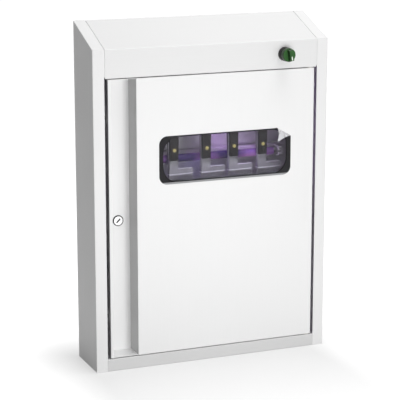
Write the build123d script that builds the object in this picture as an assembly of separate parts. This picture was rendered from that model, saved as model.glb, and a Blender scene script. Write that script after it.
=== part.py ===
from build123d import *
import os
from math import hypot

# Wall cabinet of folded stainless sheet that keeps kitchen knives clean under an ultraviolet tube.
# X runs to the right, Y to the back and Z up. The origin is the middle of the base.

# Cabinet shell
cabinet_width = 500.0
cabinet_depth = 115.0
back_height = 690.0  # base to the top of the back
roof_fall = 45.0  # from the top of the back down to the fold between roof and header
header_height = 56.8
sheet = 1.0
bend_radius = 1.5  # outside of every fold
panel_flange = 23.5  # turned in along every edge of a side panel
panel_seam = 1.8  # open seam between a side panel and the header
rail_seam = 0.3  # tight seam between a side panel and the rail below the door
strip_lap = 14.0  # how far a joint strip reaches under each of the two sheets it joins
header_return = 13.0
roof_return = 20.0
rail_height = 25.0
rail_return = 13.0
floor_upstand = 20.0
shelf_upstand = 14.0

# Wall fixing holes in the back panel
wall_hole_radius = 4.0
wall_hole_spacing_x = 380.0
wall_hole_low = 60.0  # lower pair, above the base
wall_hole_drop = 130.0  # upper pair, below the top of the back

# Door, a folded pan whose left edge is stepped back into a grip channel
door_gap_left = 6.8
door_gap_right = 5.5
door_gap_top = 1.7
door_gap_bottom = 2.0
door_return = 18.6
lip_width = 6.5
channel_width = 51.5
channel_depth = 44.0

# Pivot pins and bushes at the right edge of the door
pivot_inset_x = 7.0  # from the right edge of the door
pivot_inset_y = 8.0  # behind the face of the door
pin_radius = 3.0
pin_clearance = 0.05
pin_head_radius = 6.0
pin_head_height = 2.0
pin_reach = 9.0  # into the door, past its end plate
bush_radius = 5.0
bush_flange_radius = 6.6
bush_length = 10.0
bush_play = 0.4

# Window
film_width = 285.0
film_height = 97.0
film_radius = 17.0
film_thickness = 0.4
window_shift_x = -2.1  # from the middle of the flat part of the door
window_drop = 166.4  # from the top of the door to the middle of the window
cutout_side_margin = 8.0
cutout_end_margin = 2.0  # above and below
cutout_radius = 34.0
pane_thickness = 3.0
pane_margin = 12.0  # past the cut-out on each side
pane_radius = 20.0
gasket_thickness = 1.5
gasket_lip = 1.0  # shows inside the cut-out
pane_frame_margin = 12.0  # past the pane on each side
pane_frame_flange = 9.0
pane_frame_radius = 8.0
pane_ledge = 3.6  # the frame's lower bar stands this far above the foot of the cut-out
fold_start = 36.1  # the film's loose corner: from the corner along the top edge
fold_drop = 20.2  # and from the corner down the side
curl_radius = 2.6
curl_reach = 19.0
curl_rise = 7.0
curl_tip = 20.0  # from the start of the fold to the tip, along the fold

# Studs and nuts that clamp the pane frame
stud_radius = 2.0
stud_clearance = 0.1
stud_foot_radius = 3.5
stud_foot_height = 0.8
stud_tail = 1.5  # shows past the nut
nut_across_flats = 7.0
nut_height = 3.0
stud_columns = 4
stud_edge = 6.0  # stud axis from the long edges of the frame
stud_end = 22.0  # and from its short edges

# Cam lock in the floor of the grip channel
lock_height = 296.9
lock_inset = 24.9  # from the flat part of the door to the lock axis
lock_face_radius = 11.0
lock_face_height = 2.2
lock_body_radius = 9.5
lock_body_length = 17.0
lock_fit = 0.1
lock_nut_across_flats = 24.0
lock_nut_height = 4.0
plug_radius = 6.0
plug_clearance = 0.05
plug_proud = 0.4
key_slot_length = 8.6
key_slot_width = 1.6
key_slot_depth = 7.0
key_slot_angle = 45.0
cam_gap = 1.0  # behind the lock body
cam_length = 38.0
cam_width = 16.0
cam_thickness = 2.5
cam_boss_radius = 4.0
cam_screw_radius = 5.5
cam_screw_height = 3.0
strike_gap = 0.6  # between the strike and the closed cam
strike_reach = 32.0
strike_height = 44.0
strike_foot = 22.0

# Door stops on the left side panel
stop_low = 110.0  # lower stop, above the base
stop_drop = 76.5  # upper stop, below the top of the door
stop_height = 20.0
stop_reach = 32.0
stop_foot = 18.0
bumper_radius = 4.2
bumper_shift = 1.8  # its axis stands this far left of the edge of the door
bumper_height = 3.0
bumper_gap = 0.3

# Selector switch in the header
selector_inset = 70.7  # from the right end of the header
selector_rise = 29.8  # above the bottom of the header
collar_radius = 14.0
collar_height = 12.0
barrel_radius = 11.0
barrel_length = 14.0
selector_nut_radius = 14.0
selector_nut_height = 4.5
spindle_radius = 8.0
knob_radius = 13.6
knob_gap = 0.4
knob_rim = 2.0
knob_base_height = 11.6
knob_protrusion = 35.0
knob_grip_width = 7.6
knob_grip_root = 11.6  # half its length at the face of the base
knob_grip_tip = 10.6  # half its length at its front
knob_grip_rounding = 3.0
pointer_width = 2.2
pointer_length = 8.0
pointer_inset = 1.2  # from the end of the grip
pointer_depth = 0.6
pointer_angle = -82.0  # of the pointer, from +X, seen from the front
contact_width = 30.0
contact_height = 40.0
contact_depth = 36.0
contact_lug = 4.0

# Ultraviolet tube and its batten
tube_length = 288.0
tube_radius = 8.0
tube_wall = 0.8
tube_drop = 15.1  # axis, below the middle of the window
tube_depth = 86.0  # axis, behind the cabinet's face
cap_length = 9.0
cap_wall = 0.5
contact_pin_radius = 1.2
contact_pin_length = 6.0
contact_pin_spacing = 5.0
holder_thickness = 9.0
holder_width = 20.0
holder_head = 12.0  # above the tube's axis
batten_height = 26.0
batten_depth = 14.0
batten_overhang = 12.0
rack_shift_x = 6.4  # rack and lamp, from the middle of the window

# Magnetic knife bar and its brackets
bar_length = 300.0
bar_height = 34.0
bar_thickness = 15.0
bar_drop = 105.1  # middle of the bar, below the middle of the window
bar_depth = 57.0  # front face, behind the cabinet's face
core_clearance = 0.3
bracket_width = 24.0
bracket_foot = 16.0
bracket_spacing = 220.0

# Knives that hang on the bar, handles up
knife_offsets = (-98.7, -28.6, 31.5, 95.7)  # middle of each handle from the middle of the bar
knife_gap = 0.3
bolster_drop = 12.4  # top of each bolster, below the middle of the window
bolster_height = 18.0
bolster_width = 20.0
bolster_thickness = 12.0
heel_height = 12.0
blade_width = 52.0
blade_length = 200.0
blade_thickness = 2.6
edge_thickness = 0.5
tang_thickness = 3.0
handle_length = 114.0
handle_width = 24.0
scale_thickness = 7.5
scale_inset = 0.9
rivet_radius = 3.5
rivet_clearance = 0.06
rivet_rise = 0.3
first_rivet = 21.5
rivet_spacing = 36.0

# Electrical pieces above the shelf
ballast_length = 150.0
ballast_width = 41.0
ballast_height = 28.0
ballast_x = -90.0
ballast_depth = 76.0
tab_length = 12.0
tab_thickness = 2.0
tab_hole_radius = 2.2
starter_radius = 10.7
starter_length = 34.0
starter_x = 20.0
socket_height = 12.0
socket_wall = 2.0
terminal_ways = 5
terminal_pitch = 10.0
terminal_width = 18.0
terminal_height = 14.0
terminal_inset = 154.7  # from the right end of the header
reed_length = 26.0
reed_width = 9.0
reed_height = 9.0
reed_inset = 21.7  # from the left edge of the flat part of the door
magnet_length = 22.0
magnet_depth = 14.0

# Cable gland in the right side panel
gland_drop = 68.0  # below the top of the back
gland_depth = 82.0
gland_thread_radius = 8.0
gland_bore_radius = 4.0
gland_hex = 22.0
gland_hex_height = 5.0
gland_dome_radius = 10.0
gland_dome_height = 13.0
gland_nut_height = 4.0
gland_inside = 9.0

# Places worked out from the sizes above
front_y = -cabinet_depth / 2
back_y = cabinet_depth / 2
front_height = back_height - roof_fall
header_bottom = front_height - header_height
frame_edge = cabinet_width / 2 - panel_flange
header_half = frame_edge - panel_seam
rail_half = frame_edge - rail_seam
back_sheet_y = back_y - 2 * sheet
shelf_z = header_bottom + sheet
door_left = -frame_edge + door_gap_left
door_right = frame_edge - door_gap_right
door_bottom = rail_height + door_gap_bottom
door_top = header_bottom - door_gap_top
lip_right = door_left + lip_width
panel_left = lip_right + channel_width
channel_floor_y = front_y + channel_depth
stop_heights = (stop_low, door_top - stop_drop)
wall_hole_heights = (wall_hole_low, back_height - wall_hole_drop)
pivot_x = door_right - pivot_inset_x
pivot_y = front_y + pivot_inset_y
window_x = (panel_left + door_right) / 2 + window_shift_x
window_centre_z = door_top - window_drop
cutout_width = film_width - 2 * cutout_side_margin
cutout_height = film_height - 2 * cutout_end_margin
pane_width = cutout_width + 2 * pane_margin
pane_height = cutout_height + 2 * pane_margin
pane_y = front_y + sheet + gasket_thickness
pane_frame_y = pane_y + pane_thickness
pane_frame_width = pane_width + 2 * pane_frame_margin
pane_frame_height = pane_height + 2 * pane_frame_margin
lock_x = panel_left - lock_inset
lock_back_y = channel_floor_y + lock_body_length
cam_y = lock_back_y + cam_gap
selector_x = header_half - selector_inset
selector_z = header_bottom + selector_rise
rack_x = window_x + rack_shift_x
tube_y = front_y + tube_depth
tube_height = window_centre_z - tube_drop
bar_y = front_y + bar_depth
bar_centre_z = window_centre_z - bar_drop
bolster_top = window_centre_z - bolster_drop
knife_y = bar_y - knife_gap - blade_thickness / 2
terminal_x = header_half - terminal_inset
reed_x = panel_left + reed_inset
gland_height = back_height - gland_drop


def block(x_range, y_range, z_range):
    """A rectangular block between two planes along each axis."""
    sizes = [high - low for low, high in (x_range, y_range, z_range)]
    middles = [(high + low) / 2 for low, high in (x_range, y_range, z_range)]
    return Pos(*middles) * Box(*sizes)


def round_bar(radius, y_start, y_end, x, z):
    """A round bar along Y."""
    return extrude(Plane.XZ.offset(-y_start) * Pos(x, z) * Circle(radius), -(y_end - y_start))


def post(radius, z_start, z_end, x, y):
    """A round bar along Z."""
    return extrude(Plane.XY.offset(z_start) * Pos(x, y) * Circle(radius), z_end - z_start)


def plate(outline, y_start, y_end):
    """An upright sketch, drawn in X and Z, made solid between two depths."""
    return extrude(Plane.XZ.offset(-y_start) * outline, -(y_end - y_start))


def hex_nut(across_flats, height, y_start, x, z, bore):
    """A hexagonal nut whose axis runs along Y."""
    outline = RegularPolygon(across_flats / 2, 6, major_radius=False) - Circle(bore)
    return plate(Pos(x, z) * outline, y_start, y_start + height)


def folded_section(points):
    """Section of a folded sheet: its show face follows the points and its metal lies to their right."""
    show_face = FilletPolyline(*points, radius=bend_radius)
    return make_face(offset(show_face, amount=sheet, side=Side.RIGHT).edges())


def folded_across(points, half_width):
    """A folded sheet whose section, drawn in Y and Z, runs across the cabinet."""
    return extrude(Plane.YZ.offset(-half_width) * folded_section(points), 2 * half_width)


def side_panel(side):
    """A flat side with a flange turned in along its front, roof, back and base."""
    outline = Polygon(
        (front_y, 0), (back_y, 0), (back_y, back_height), (front_y, front_height), align=None
    )
    pan = extrude(Plane.YZ * outline, panel_flange)
    pan = fillet(pan.edges().group_by(Axis.X)[0], bend_radius)
    pan -= extrude(Plane.YZ.offset(sheet) * offset(outline, -sheet, kind=Kind.INTERSECTION), panel_flange)
    pan = Pos(-cabinet_width / 2, 0, 0) * pan
    if side > 0:
        pan = mirror(pan, Plane.YZ)
        hole = Cylinder(gland_thread_radius + lock_fit, 4 * sheet, rotation=(0, 90, 0))
        pan -= Pos(cabinet_width / 2, front_y + gland_depth, gland_height) * hole
    return pan


def header_roof():
    """One sheet folded into the header in front, the sloping roof and a short return at the back."""
    points = [
        (front_y + header_return, header_bottom),
        (front_y, header_bottom),
        (front_y, front_height),
        (back_y, back_height),
        (back_y, back_height - roof_return),
    ]
    panel = folded_across(points, header_half)
    panel -= round_bar(barrel_radius + lock_fit, front_y - sheet, front_y + 2 * sheet, selector_x, selector_z)
    panel -= post(pin_radius + pin_clearance, header_bottom - sheet, header_bottom + 2 * sheet, pivot_x, pivot_y)
    return panel


def floor_pan():
    """One sheet folded into the lip under the door, the bottom rail, the base and a back upstand."""
    points = [
        (back_sheet_y, floor_upstand),
        (back_sheet_y, 0),
        (front_y, 0),
        (front_y, rail_height),
        (front_y + rail_return, rail_height),
    ]
    pan = folded_across(points, rail_half)
    pan -= post(pin_radius + pin_clearance, rail_height - 2 * sheet, rail_height + sheet, pivot_x, pivot_y)
    return pan


def back_panel():
    """The flat back, welded inside the back flanges, with its four wall fixing holes."""
    half = cabinet_width / 2 - sheet
    top = back_height - 2 * sheet - bend_radius
    panel = block((-half, half), (back_sheet_y, back_sheet_y + sheet), (sheet, top))
    for x in (-wall_hole_spacing_x / 2, wall_hole_spacing_x / 2):
        for z in wall_hole_heights:
            panel -= round_bar(wall_hole_radius, back_sheet_y - sheet, back_y, x, z)
    return panel


def joint_strips(side):
    """Two strips behind the seams of one side panel: one under header and roof, one on the base."""
    inner = header_half - strip_lap
    outer = cabinet_width / 2 - panel_flange + strip_lap
    slope = (back_height - front_height) / cabinet_depth
    drop = sheet * hypot(1, slope)
    front = front_y + sheet
    rear = back_sheet_y - sheet
    points = [
        (front, shelf_z + 2 * sheet),
        (front, front_height - drop + slope * sheet),
        (rear, front_height - drop + slope * (rear - front_y)),
    ]
    top_strip = extrude(Plane.YZ.offset(inner) * folded_section(points), outer - inner)
    base_strip = block((inner, outer), (front + 2 * sheet, rear - 2 * sheet), (sheet, 2 * sheet))
    strips = Compound([top_strip.solid(), base_strip.solid()])
    return strips if side > 0 else mirror(strips, Plane.YZ)


def compartment_shelf():
    """The tray that closes the lamp chamber and carries the electrical pieces above it."""
    points = [
        (front_y + 2 * sheet, shelf_z + sheet),
        (back_sheet_y - sheet, shelf_z + sheet),
        (back_sheet_y - sheet, shelf_z + shelf_upstand),
    ]
    tray = extrude(Plane.YZ.offset(-header_half) * folded_section(points), 2 * header_half)
    tray -= post(pin_radius + pin_clearance, shelf_z - sheet, shelf_z + 2 * sheet, pivot_x, pivot_y)
    return tray


def hinge_pins():
    """Two headed pivot pins: one hangs through the shelf, one stands in the lip of the rail."""
    axis = (pivot_x, pivot_y)
    shelf_top = shelf_z + sheet
    upper = post(pin_radius, door_top - pin_reach, shelf_top, *axis)
    upper = chamfer(upper.edges().group_by(Axis.Z)[0], pin_radius / 4)
    upper += post(pin_head_radius, shelf_top, shelf_top + pin_head_height, *axis)
    lip_under = rail_height - sheet
    lower = post(pin_radius, lip_under, door_bottom + pin_reach, *axis)
    lower = chamfer(lower.edges().group_by(Axis.Z)[-1], pin_radius / 4)
    lower += post(pin_head_radius, lip_under - pin_head_height, lip_under, *axis)
    return Compound([upper.solid(), lower.solid()])


def folded_angle(foot, reach, height, bend_x, face_y, z):
    """A small angle bracket: its foot lies on the left side panel and its leg reaches to the right."""
    points = [(bend_x, face_y + foot), (bend_x, face_y), (bend_x + reach, face_y)]
    section = make_face(offset(FilletPolyline(*points, radius=bend_radius), sheet, side=Side.LEFT).edges())
    return extrude(Plane.XY.offset(z - height / 2) * section, height)


def strike_bracket():
    """The angle that the lock's cam turns behind."""
    face_y = cam_y - strike_gap - sheet
    return folded_angle(strike_foot, strike_reach, strike_height, sheet - cabinet_width / 2, face_y, lock_height)


def door_stops():
    """Two angles on the left side panel that the edge of the closed door comes up to."""
    face_y = front_y + door_return + bumper_gap + bumper_height
    left = sheet - cabinet_width / 2
    stops = [folded_angle(stop_foot, stop_reach, stop_height, left, face_y, z) for z in stop_heights]
    return Compound([stop.solid() for stop in stops])


def door_bumpers():
    """A rubber button on the front of each door stop."""
    start = front_y + door_return + bumper_gap
    x = door_left - bumper_shift
    buttons = []
    for z in stop_heights:
        button = round_bar(bumper_radius, start, start + bumper_height, x, z)
        buttons.append(fillet(button.edges().group_by(Axis.Y)[0], bumper_height / 3).solid())
    return Compound(buttons)


def door_skin():
    """One sheet folded into the flat door, the grip channel, the lip and the edge returns."""
    points = [
        (door_right, front_y + door_return),
        (door_right, front_y),
        (panel_left, front_y),
        (panel_left, channel_floor_y),
        (lip_right, channel_floor_y),
        (lip_right, front_y),
        (door_left, front_y),
        (door_left, front_y + door_return),
    ]
    section = folded_section(points)
    skin = extrude(Plane.XY.offset(door_bottom) * section, door_top - door_bottom)
    returns = (front_y + sheet / 2, front_y + door_return)
    for z in (door_bottom, door_top - sheet):
        level = (z, z + sheet)
        skin += block((door_left + sheet / 2, lip_right - sheet / 2), returns, level)
        skin += block((panel_left + sheet / 2, door_right - sheet / 2), returns, level)
        skin -= post(bush_radius, z - sheet, z + 2 * sheet, pivot_x, pivot_y)
    skin -= plate(window_outline(cutout_width, cutout_height, cutout_radius), front_y - sheet, front_y + 2 * sheet)
    skin -= round_bar(
        lock_body_radius + lock_fit, channel_floor_y - sheet, channel_floor_y + 2 * sheet, lock_x, lock_height
    )
    return skin


def channel_ends():
    """Two plates welded into the ends of the grip channel, their inner corners cut back past its bends."""
    front = front_y + bend_radius
    outline = Polygon(
        (lip_right, front),
        (panel_left, front),
        (panel_left, channel_floor_y - bend_radius),
        (panel_left - bend_radius, channel_floor_y),
        (lip_right + bend_radius, channel_floor_y),
        (lip_right, channel_floor_y - bend_radius),
        align=None,
    )
    levels = (door_bottom, door_top - sheet)
    return Compound([extrude(Plane.XY.offset(z) * outline, sheet).solid() for z in levels])


def door_bushes():
    """A flanged plastic bush in each end plate of the door, around its pivot pin."""
    upper_flange = door_top + door_gap_top - bush_play
    lower_flange = door_bottom - door_gap_bottom + bush_play
    bushes = []
    for barrel_end, plate_face, flange_face in (
        (door_top - bush_length, door_top, upper_flange),
        (door_bottom + bush_length, door_bottom, lower_flange),
    ):
        bush = post(bush_radius, *sorted((barrel_end, plate_face)), pivot_x, pivot_y)
        bush += post(bush_flange_radius, *sorted((plate_face, flange_face)), pivot_x, pivot_y)
        span = sorted((barrel_end, flange_face))
        bush -= post(pin_radius + pin_clearance, span[0] - sheet, span[1] + sheet, pivot_x, pivot_y)
        bushes.append(bush.solid())
    return Compound(bushes)


def window_outline(width, height, radius):
    """A rounded rectangle on the middle of the window."""
    return Pos(window_x, window_centre_z) * RectangleRounded(width, height, radius)


def window_pane():
    """The clear pane behind the cut-out."""
    pane = plate(window_outline(pane_width, pane_height, pane_radius), pane_y, pane_y + pane_thickness)
    return pane


def window_gasket():
    """The flat rubber frame between the door and the pane; its lip shows around the cut-out."""
    outline = window_outline(pane_width, pane_height, pane_radius)
    lip = 2 * gasket_lip
    outline -= window_outline(cutout_width - lip, cutout_height - lip, cutout_radius - gasket_lip)
    return plate(outline, front_y + sheet, pane_y)


def stud_places():
    """Stud centres along the top and bottom edges of the pane frame."""
    half_x = pane_frame_width / 2 - stud_end
    half_z = pane_frame_height / 2 - stud_edge
    step = 2 * half_x / (stud_columns - 1)
    return [
        (window_x - half_x + step * column, window_centre_z + row * half_z)
        for row in (-1, 1)
        for column in range(stud_columns)
    ]


def pane_frame():
    """The folded frame that clamps the pane, with a stiffening flange around it."""
    outer = window_outline(pane_frame_width, pane_frame_height, pane_frame_radius)
    inner = window_outline(
        pane_frame_width - 2 * sheet, pane_frame_height - 2 * sheet, pane_frame_radius - sheet
    )
    frame = plate(outer, pane_frame_y, pane_frame_y + pane_frame_flange)
    frame -= plate(inner, pane_frame_y + sheet, pane_frame_y + pane_frame_flange)
    opening = Pos(window_x, window_centre_z + pane_ledge / 2) * RectangleRounded(
        cutout_width, cutout_height - pane_ledge, cutout_radius - pane_ledge
    )
    frame -= plate(opening, pane_frame_y - sheet, pane_frame_y + 2 * sheet)
    for x, z in stud_places():
        frame -= round_bar(stud_radius + stud_clearance, pane_frame_y - sheet, pane_frame_y + 2 * sheet, x, z)
    return frame


def pane_studs():
    """Studs welded to the back of the door."""
    foot_y = front_y + sheet
    tail_y = pane_frame_y + sheet + nut_height + stud_tail
    studs = []
    for x, z in stud_places():
        stud = round_bar(stud_radius, foot_y, tail_y, x, z)
        stud += round_bar(stud_foot_radius, foot_y, foot_y + stud_foot_height, x, z)
        studs.append(stud.solid())
    return Compound(studs)


def pane_nuts():
    """A hexagonal nut on each stud."""
    bore = stud_radius + stud_clearance
    nuts = [hex_nut(nut_across_flats, nut_height, pane_frame_y + sheet, x, z, bore) for x, z in stud_places()]
    return Compound([nut.solid() for nut in nuts])


def window_film():
    """The smoked film stuck over the window, its upper right corner come loose and curled back."""
    right = window_x + film_width / 2
    top = window_centre_z + film_height / 2
    flat = window_outline(film_width, film_height, film_radius)
    flat -= Polygon((right - fold_start, top), (right, top), (right, top - fold_drop), align=None)
    film = plate(flat, front_y - film_thickness, front_y)
    fold_length = hypot(fold_start, fold_drop)
    fold_plane = Plane(
        origin=(right - fold_start, front_y, top),
        x_dir=(fold_drop, 0, fold_start),
        z_dir=(fold_start, 0, -fold_drop),
    )
    half = film_thickness / 2
    section = FilletPolyline(
        (-curl_radius, half),
        (curl_radius, half),
        (curl_radius, half + 2 * curl_radius),
        (-curl_reach, half + curl_rise),
        radius=curl_radius * 0.98,
    )
    curl = extrude(fold_plane * trace(section, film_thickness), fold_length)
    along = Vector(fold_start, -fold_drop).normalized()
    inward = Vector(-fold_drop, -fold_start).normalized()
    start = Vector(right - fold_start, top)
    outward = inward * (-2 * curl_radius)
    edge = along * (2 * curl_radius)
    tip = start + along * curl_tip + inward * curl_reach
    end = start + along * fold_length
    corners = [start, tip, end, end + outward - edge, start + outward + edge]
    reach = Polygon(*[(corner.X, corner.Y) for corner in corners], align=None)
    curl &= plate(reach, front_y - 2 * curl_rise, front_y)
    return film + curl


def lock_housing():
    """The lock's round body, its face against the floor of the grip channel."""
    axis = (lock_x, lock_height)
    face_start = channel_floor_y - lock_face_height
    housing = round_bar(lock_face_radius, face_start, channel_floor_y, *axis)
    housing = fillet(housing.edges().group_by(Axis.Y)[0], lock_face_height / 2)
    housing += round_bar(lock_body_radius, channel_floor_y, lock_back_y, *axis)
    return housing - round_bar(plug_radius + plug_clearance, face_start - 1, lock_back_y + 1, *axis)


def lock_nut():
    """The nut that draws the lock up against the channel floor."""
    start = channel_floor_y + sheet
    bore = lock_body_radius + lock_fit
    return hex_nut(lock_nut_across_flats, lock_nut_height, start, lock_x, lock_height, bore)


def lock_plug():
    """The turning plug with its key slot, stepped down at the back to carry the cam."""
    axis = (lock_x, lock_height)
    face = channel_floor_y - lock_face_height - plug_proud
    plug = round_bar(plug_radius, face, cam_y, *axis)
    plug += round_bar(cam_boss_radius, cam_y, cam_y + cam_thickness, *axis)
    slot = Pos(*axis) * Rot(0, 0, key_slot_angle) * SlotOverall(key_slot_length, key_slot_width)
    return plug - plate(slot, face - 1, face + key_slot_depth)


def lock_cam():
    """The cam, a flat lever that points down when the door is free and left when it is locked."""
    centre = Pos(lock_x, lock_height)
    reach = cam_length - cam_width / 2
    lever = centre * Circle(cam_width / 2)
    lever += centre * Pos(0, -reach / 2) * Rectangle(cam_width, reach)
    lever += centre * Pos(0, -reach) * Circle(cam_width / 2)
    lever -= centre * Circle(cam_boss_radius + lock_fit)
    return plate(lever, cam_y, cam_y + cam_thickness)


def cam_screw():
    """The screw head that holds the cam on the plug."""
    start = cam_y + cam_thickness
    head = round_bar(cam_screw_radius, start, start + cam_screw_height, lock_x, lock_height)
    return fillet(head.edges().group_by(Axis.Y)[-1], cam_screw_height / 3)


def selector_collar():
    """The switch's bezel on the header and the threaded barrel behind it."""
    axis = (selector_x, selector_z)
    collar = round_bar(collar_radius, front_y - collar_height, front_y, *axis)
    collar = chamfer(collar.edges().group_by(Axis.Y)[0], knob_rim / 2)
    collar += round_bar(barrel_radius, front_y, front_y + barrel_length, *axis)
    bore = spindle_radius + pin_clearance
    return collar - round_bar(bore, front_y - collar_height - 1, front_y + barrel_length + 1, *axis)


def selector_nut():
    """The ring nut that holds the switch from inside."""
    start = front_y + sheet
    outline = Circle(selector_nut_radius) - Circle(barrel_radius + lock_fit)
    ring = plate(Pos(selector_x, selector_z) * outline, start, start + selector_nut_height)
    notch = Rectangle(2 * selector_nut_radius + 2, selector_nut_height / 2)
    for angle in (0, 60, 120):
        cut = Rot(0, 0, angle) * notch - Circle(selector_nut_radius - 1)
        ring -= plate(Pos(selector_x, selector_z) * cut, start, start + selector_nut_height)
    return ring


def selector_contacts():
    """The contact block clipped to the end of the barrel, with two terminal lugs."""
    start = front_y + barrel_length
    x_range = (selector_x - contact_width / 2, selector_x + contact_width / 2)
    z_range = (selector_z - contact_height / 2 + contact_lug, selector_z + contact_height / 2 - contact_lug)
    contacts = block(x_range, (start, start + contact_depth), z_range)
    for sign in (-1, 1):
        x = selector_x + sign * contact_width / 4
        reach = (selector_z - contact_height / 2, selector_z + contact_height / 2)
        lug = (x - contact_lug, x + contact_lug)
        contacts += block(lug, (start + contact_depth / 3, start + contact_depth / 2), reach)
    return contacts


def knob_grip():
    """The tall grip bar across the knob's face, its ends sloped and rounded off at the front."""
    base_front = front_y - collar_height - knob_gap - knob_base_height
    rise = base_front - (front_y - knob_protrusion)
    side_view = Polygon(
        (-knob_grip_root, -knob_rim),
        (knob_grip_root, -knob_rim),
        (knob_grip_root, 0),
        (knob_grip_tip, rise),
        (-knob_grip_tip, rise),
        (-knob_grip_root, 0),
        align=None,
    )
    side_view = fillet(side_view.vertices().group_by(Axis.Y)[-1], knob_grip_rounding)
    lengthwise = Plane((0, base_front, 0), x_dir=(1, 0, 0), z_dir=(0, 0, -1))
    grip = extrude(lengthwise * side_view, knob_grip_width / 2, both=True)
    return Pos(selector_x, 0, selector_z) * Rot(0, -pointer_angle, 0) * grip


def selector_knob():
    """The knob: a round base with a soft rim, its grip bar and the spindle behind them."""
    axis = (selector_x, selector_z)
    base_back = front_y - collar_height - knob_gap
    knob = round_bar(knob_radius, base_back - knob_base_height, base_back, *axis)
    knob = fillet(knob.edges().group_by(Axis.Y)[0], knob_rim)
    knob += knob_grip()
    knob -= selector_pointer()
    return knob + round_bar(spindle_radius, base_back, front_y + barrel_length - knob_gap, *axis)


def selector_pointer():
    """The pale inlay along the front of the grip that marks which way the knob points."""
    grip_front = front_y - knob_protrusion
    middle = knob_grip_tip - pointer_inset - pointer_length / 2
    inlay = Rot(0, 0, pointer_angle) * Pos(middle) * SlotOverall(pointer_length, pointer_width)
    return plate(Pos(selector_x, selector_z) * inlay, grip_front, grip_front + pointer_depth) & knob_grip()


def uv_tube():
    """The glass tube between its two end caps."""
    half = tube_length / 2 - cap_wall
    section = Circle(tube_radius) - Circle(tube_radius - tube_wall)
    glass = extrude(Plane.YZ.offset(-half) * section, 2 * half)
    return Pos(rack_x, tube_y, tube_height) * glass


def tube_caps():
    """The metal cap on each end of the tube, with its two contact pins."""
    caps = []
    for sign in (-1, 1):
        end = Plane((sign * tube_length / 2, 0, 0), x_dir=(0, 1, 0), z_dir=(sign, 0, 0))
        cap = extrude(end * Circle(tube_radius + cap_wall + lock_fit), -cap_length)
        cap -= extrude(end.offset(-cap_wall) * Circle(tube_radius + lock_fit), -cap_length)
        for offset_z in (-contact_pin_spacing / 2, contact_pin_spacing / 2):
            cap += extrude(end * Pos(0, offset_z) * Circle(contact_pin_radius), contact_pin_length)
        caps.append((Pos(rack_x, tube_y, tube_height) * cap).solid())
    return Compound(caps)


def lamp_holder(side):
    """The plastic holder at one end of the tube, slotted from the front for its pins."""
    face = tube_length / 2 + lock_fit
    batten_front = back_sheet_y - batten_depth
    outline = Polygon(
        (tube_y - holder_head, -holder_width / 2),
        (batten_front, -holder_width / 2),
        (batten_front, holder_width / 2),
        (tube_y - holder_head, holder_width / 2),
        align=None,
    )
    outline = fillet(outline.vertices().group_by(Axis.X)[0], holder_width / 3)
    pin_slot = 2 * (contact_pin_radius + lock_fit)
    slot_height = contact_pin_spacing + pin_slot
    outline_cut = Pos(tube_y - holder_head / 2, 0) * Rectangle(holder_head, pin_slot)
    outline_cut += Pos(tube_y, 0) * Rectangle(pin_slot, slot_height)
    holder = extrude(Plane.YZ.offset(face) * outline, holder_thickness)
    holder -= extrude(Plane.YZ.offset(face) * outline_cut, contact_pin_length + lock_fit)
    holder = Pos(0, 0, tube_height) * holder
    holder = holder if side > 0 else mirror(holder, Plane.YZ)
    return Pos(rack_x, 0, 0) * holder


def lamp_batten():
    """The folded channel on the back panel that carries both lamp holders."""
    half = tube_length / 2 + holder_thickness + batten_overhang
    low = tube_height - batten_height / 2
    high = tube_height + batten_height / 2
    points = [
        (back_sheet_y, high),
        (back_sheet_y - batten_depth, high),
        (back_sheet_y - batten_depth, low),
        (back_sheet_y, low),
    ]
    section = make_face(offset(FilletPolyline(*points, radius=bend_radius), sheet, side=Side.LEFT).edges())
    return Pos(rack_x, 0, 0) * extrude(Plane.YZ.offset(-half) * section, 2 * half)


def magnet_bar():
    """The folded stainless cover of the knife bar, open at the back and closed at its ends."""
    half = bar_length / 2
    low = bar_centre_z - bar_height / 2
    high = bar_centre_z + bar_height / 2
    cover = block((rack_x - half, rack_x + half), (bar_y, bar_y + bar_thickness), (low, high))
    cover = fillet(cover.edges().group_by(Axis.Y)[0], bend_radius)
    return cover - block(
        (rack_x - half + sheet, rack_x + half - sheet),
        (bar_y + sheet, bar_y + bar_thickness),
        (low + sheet, high - sheet),
    )


def magnet_core():
    """The magnet strip inside the cover."""
    half = bar_length / 2 - sheet - core_clearance
    low = bar_centre_z - bar_height / 2 + sheet + core_clearance
    high = bar_centre_z + bar_height / 2 - sheet - core_clearance
    return block((rack_x - half, rack_x + half), (bar_y + sheet, bar_y + bar_thickness - sheet), (low, high))


def bar_brackets():
    """Two folded brackets that stand the knife bar off the back panel."""
    start = bar_y + bar_thickness - sheet
    brackets = []
    for sign in (-1, 1):
        x = rack_x + sign * bracket_spacing / 2
        points = [
            (x - bracket_foot, start),
            (x, start),
            (x, back_sheet_y - sheet),
            (x + bracket_foot, back_sheet_y - sheet),
        ]
        section = make_face(offset(FilletPolyline(*points, radius=bend_radius), sheet, side=Side.LEFT).edges())
        low = bar_centre_z - bracket_width / 2
        brackets.append(extrude(Plane.XY.offset(low) * section, bracket_width).solid())
    return Compound(brackets)


def handle_outline(inset):
    """The handle seen from the front, drawn up from the bolster's middle."""
    root = bolster_width / 2 - inset
    palm = handle_width / 2 - inset
    height = handle_length - inset
    outline = Polygon(
        (-root, 0),
        (root, 0),
        (root + 0.5, height * 0.5),
        (palm, height * 0.86),
        (palm - 5, height),
        (-palm + 3, height),
        (-palm, height * 0.86),
        (-root - 0.5, height * 0.5),
        align=None,
    )
    return fillet(outline.vertices().group_by(Axis.Y)[-1], 2.5)


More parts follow.
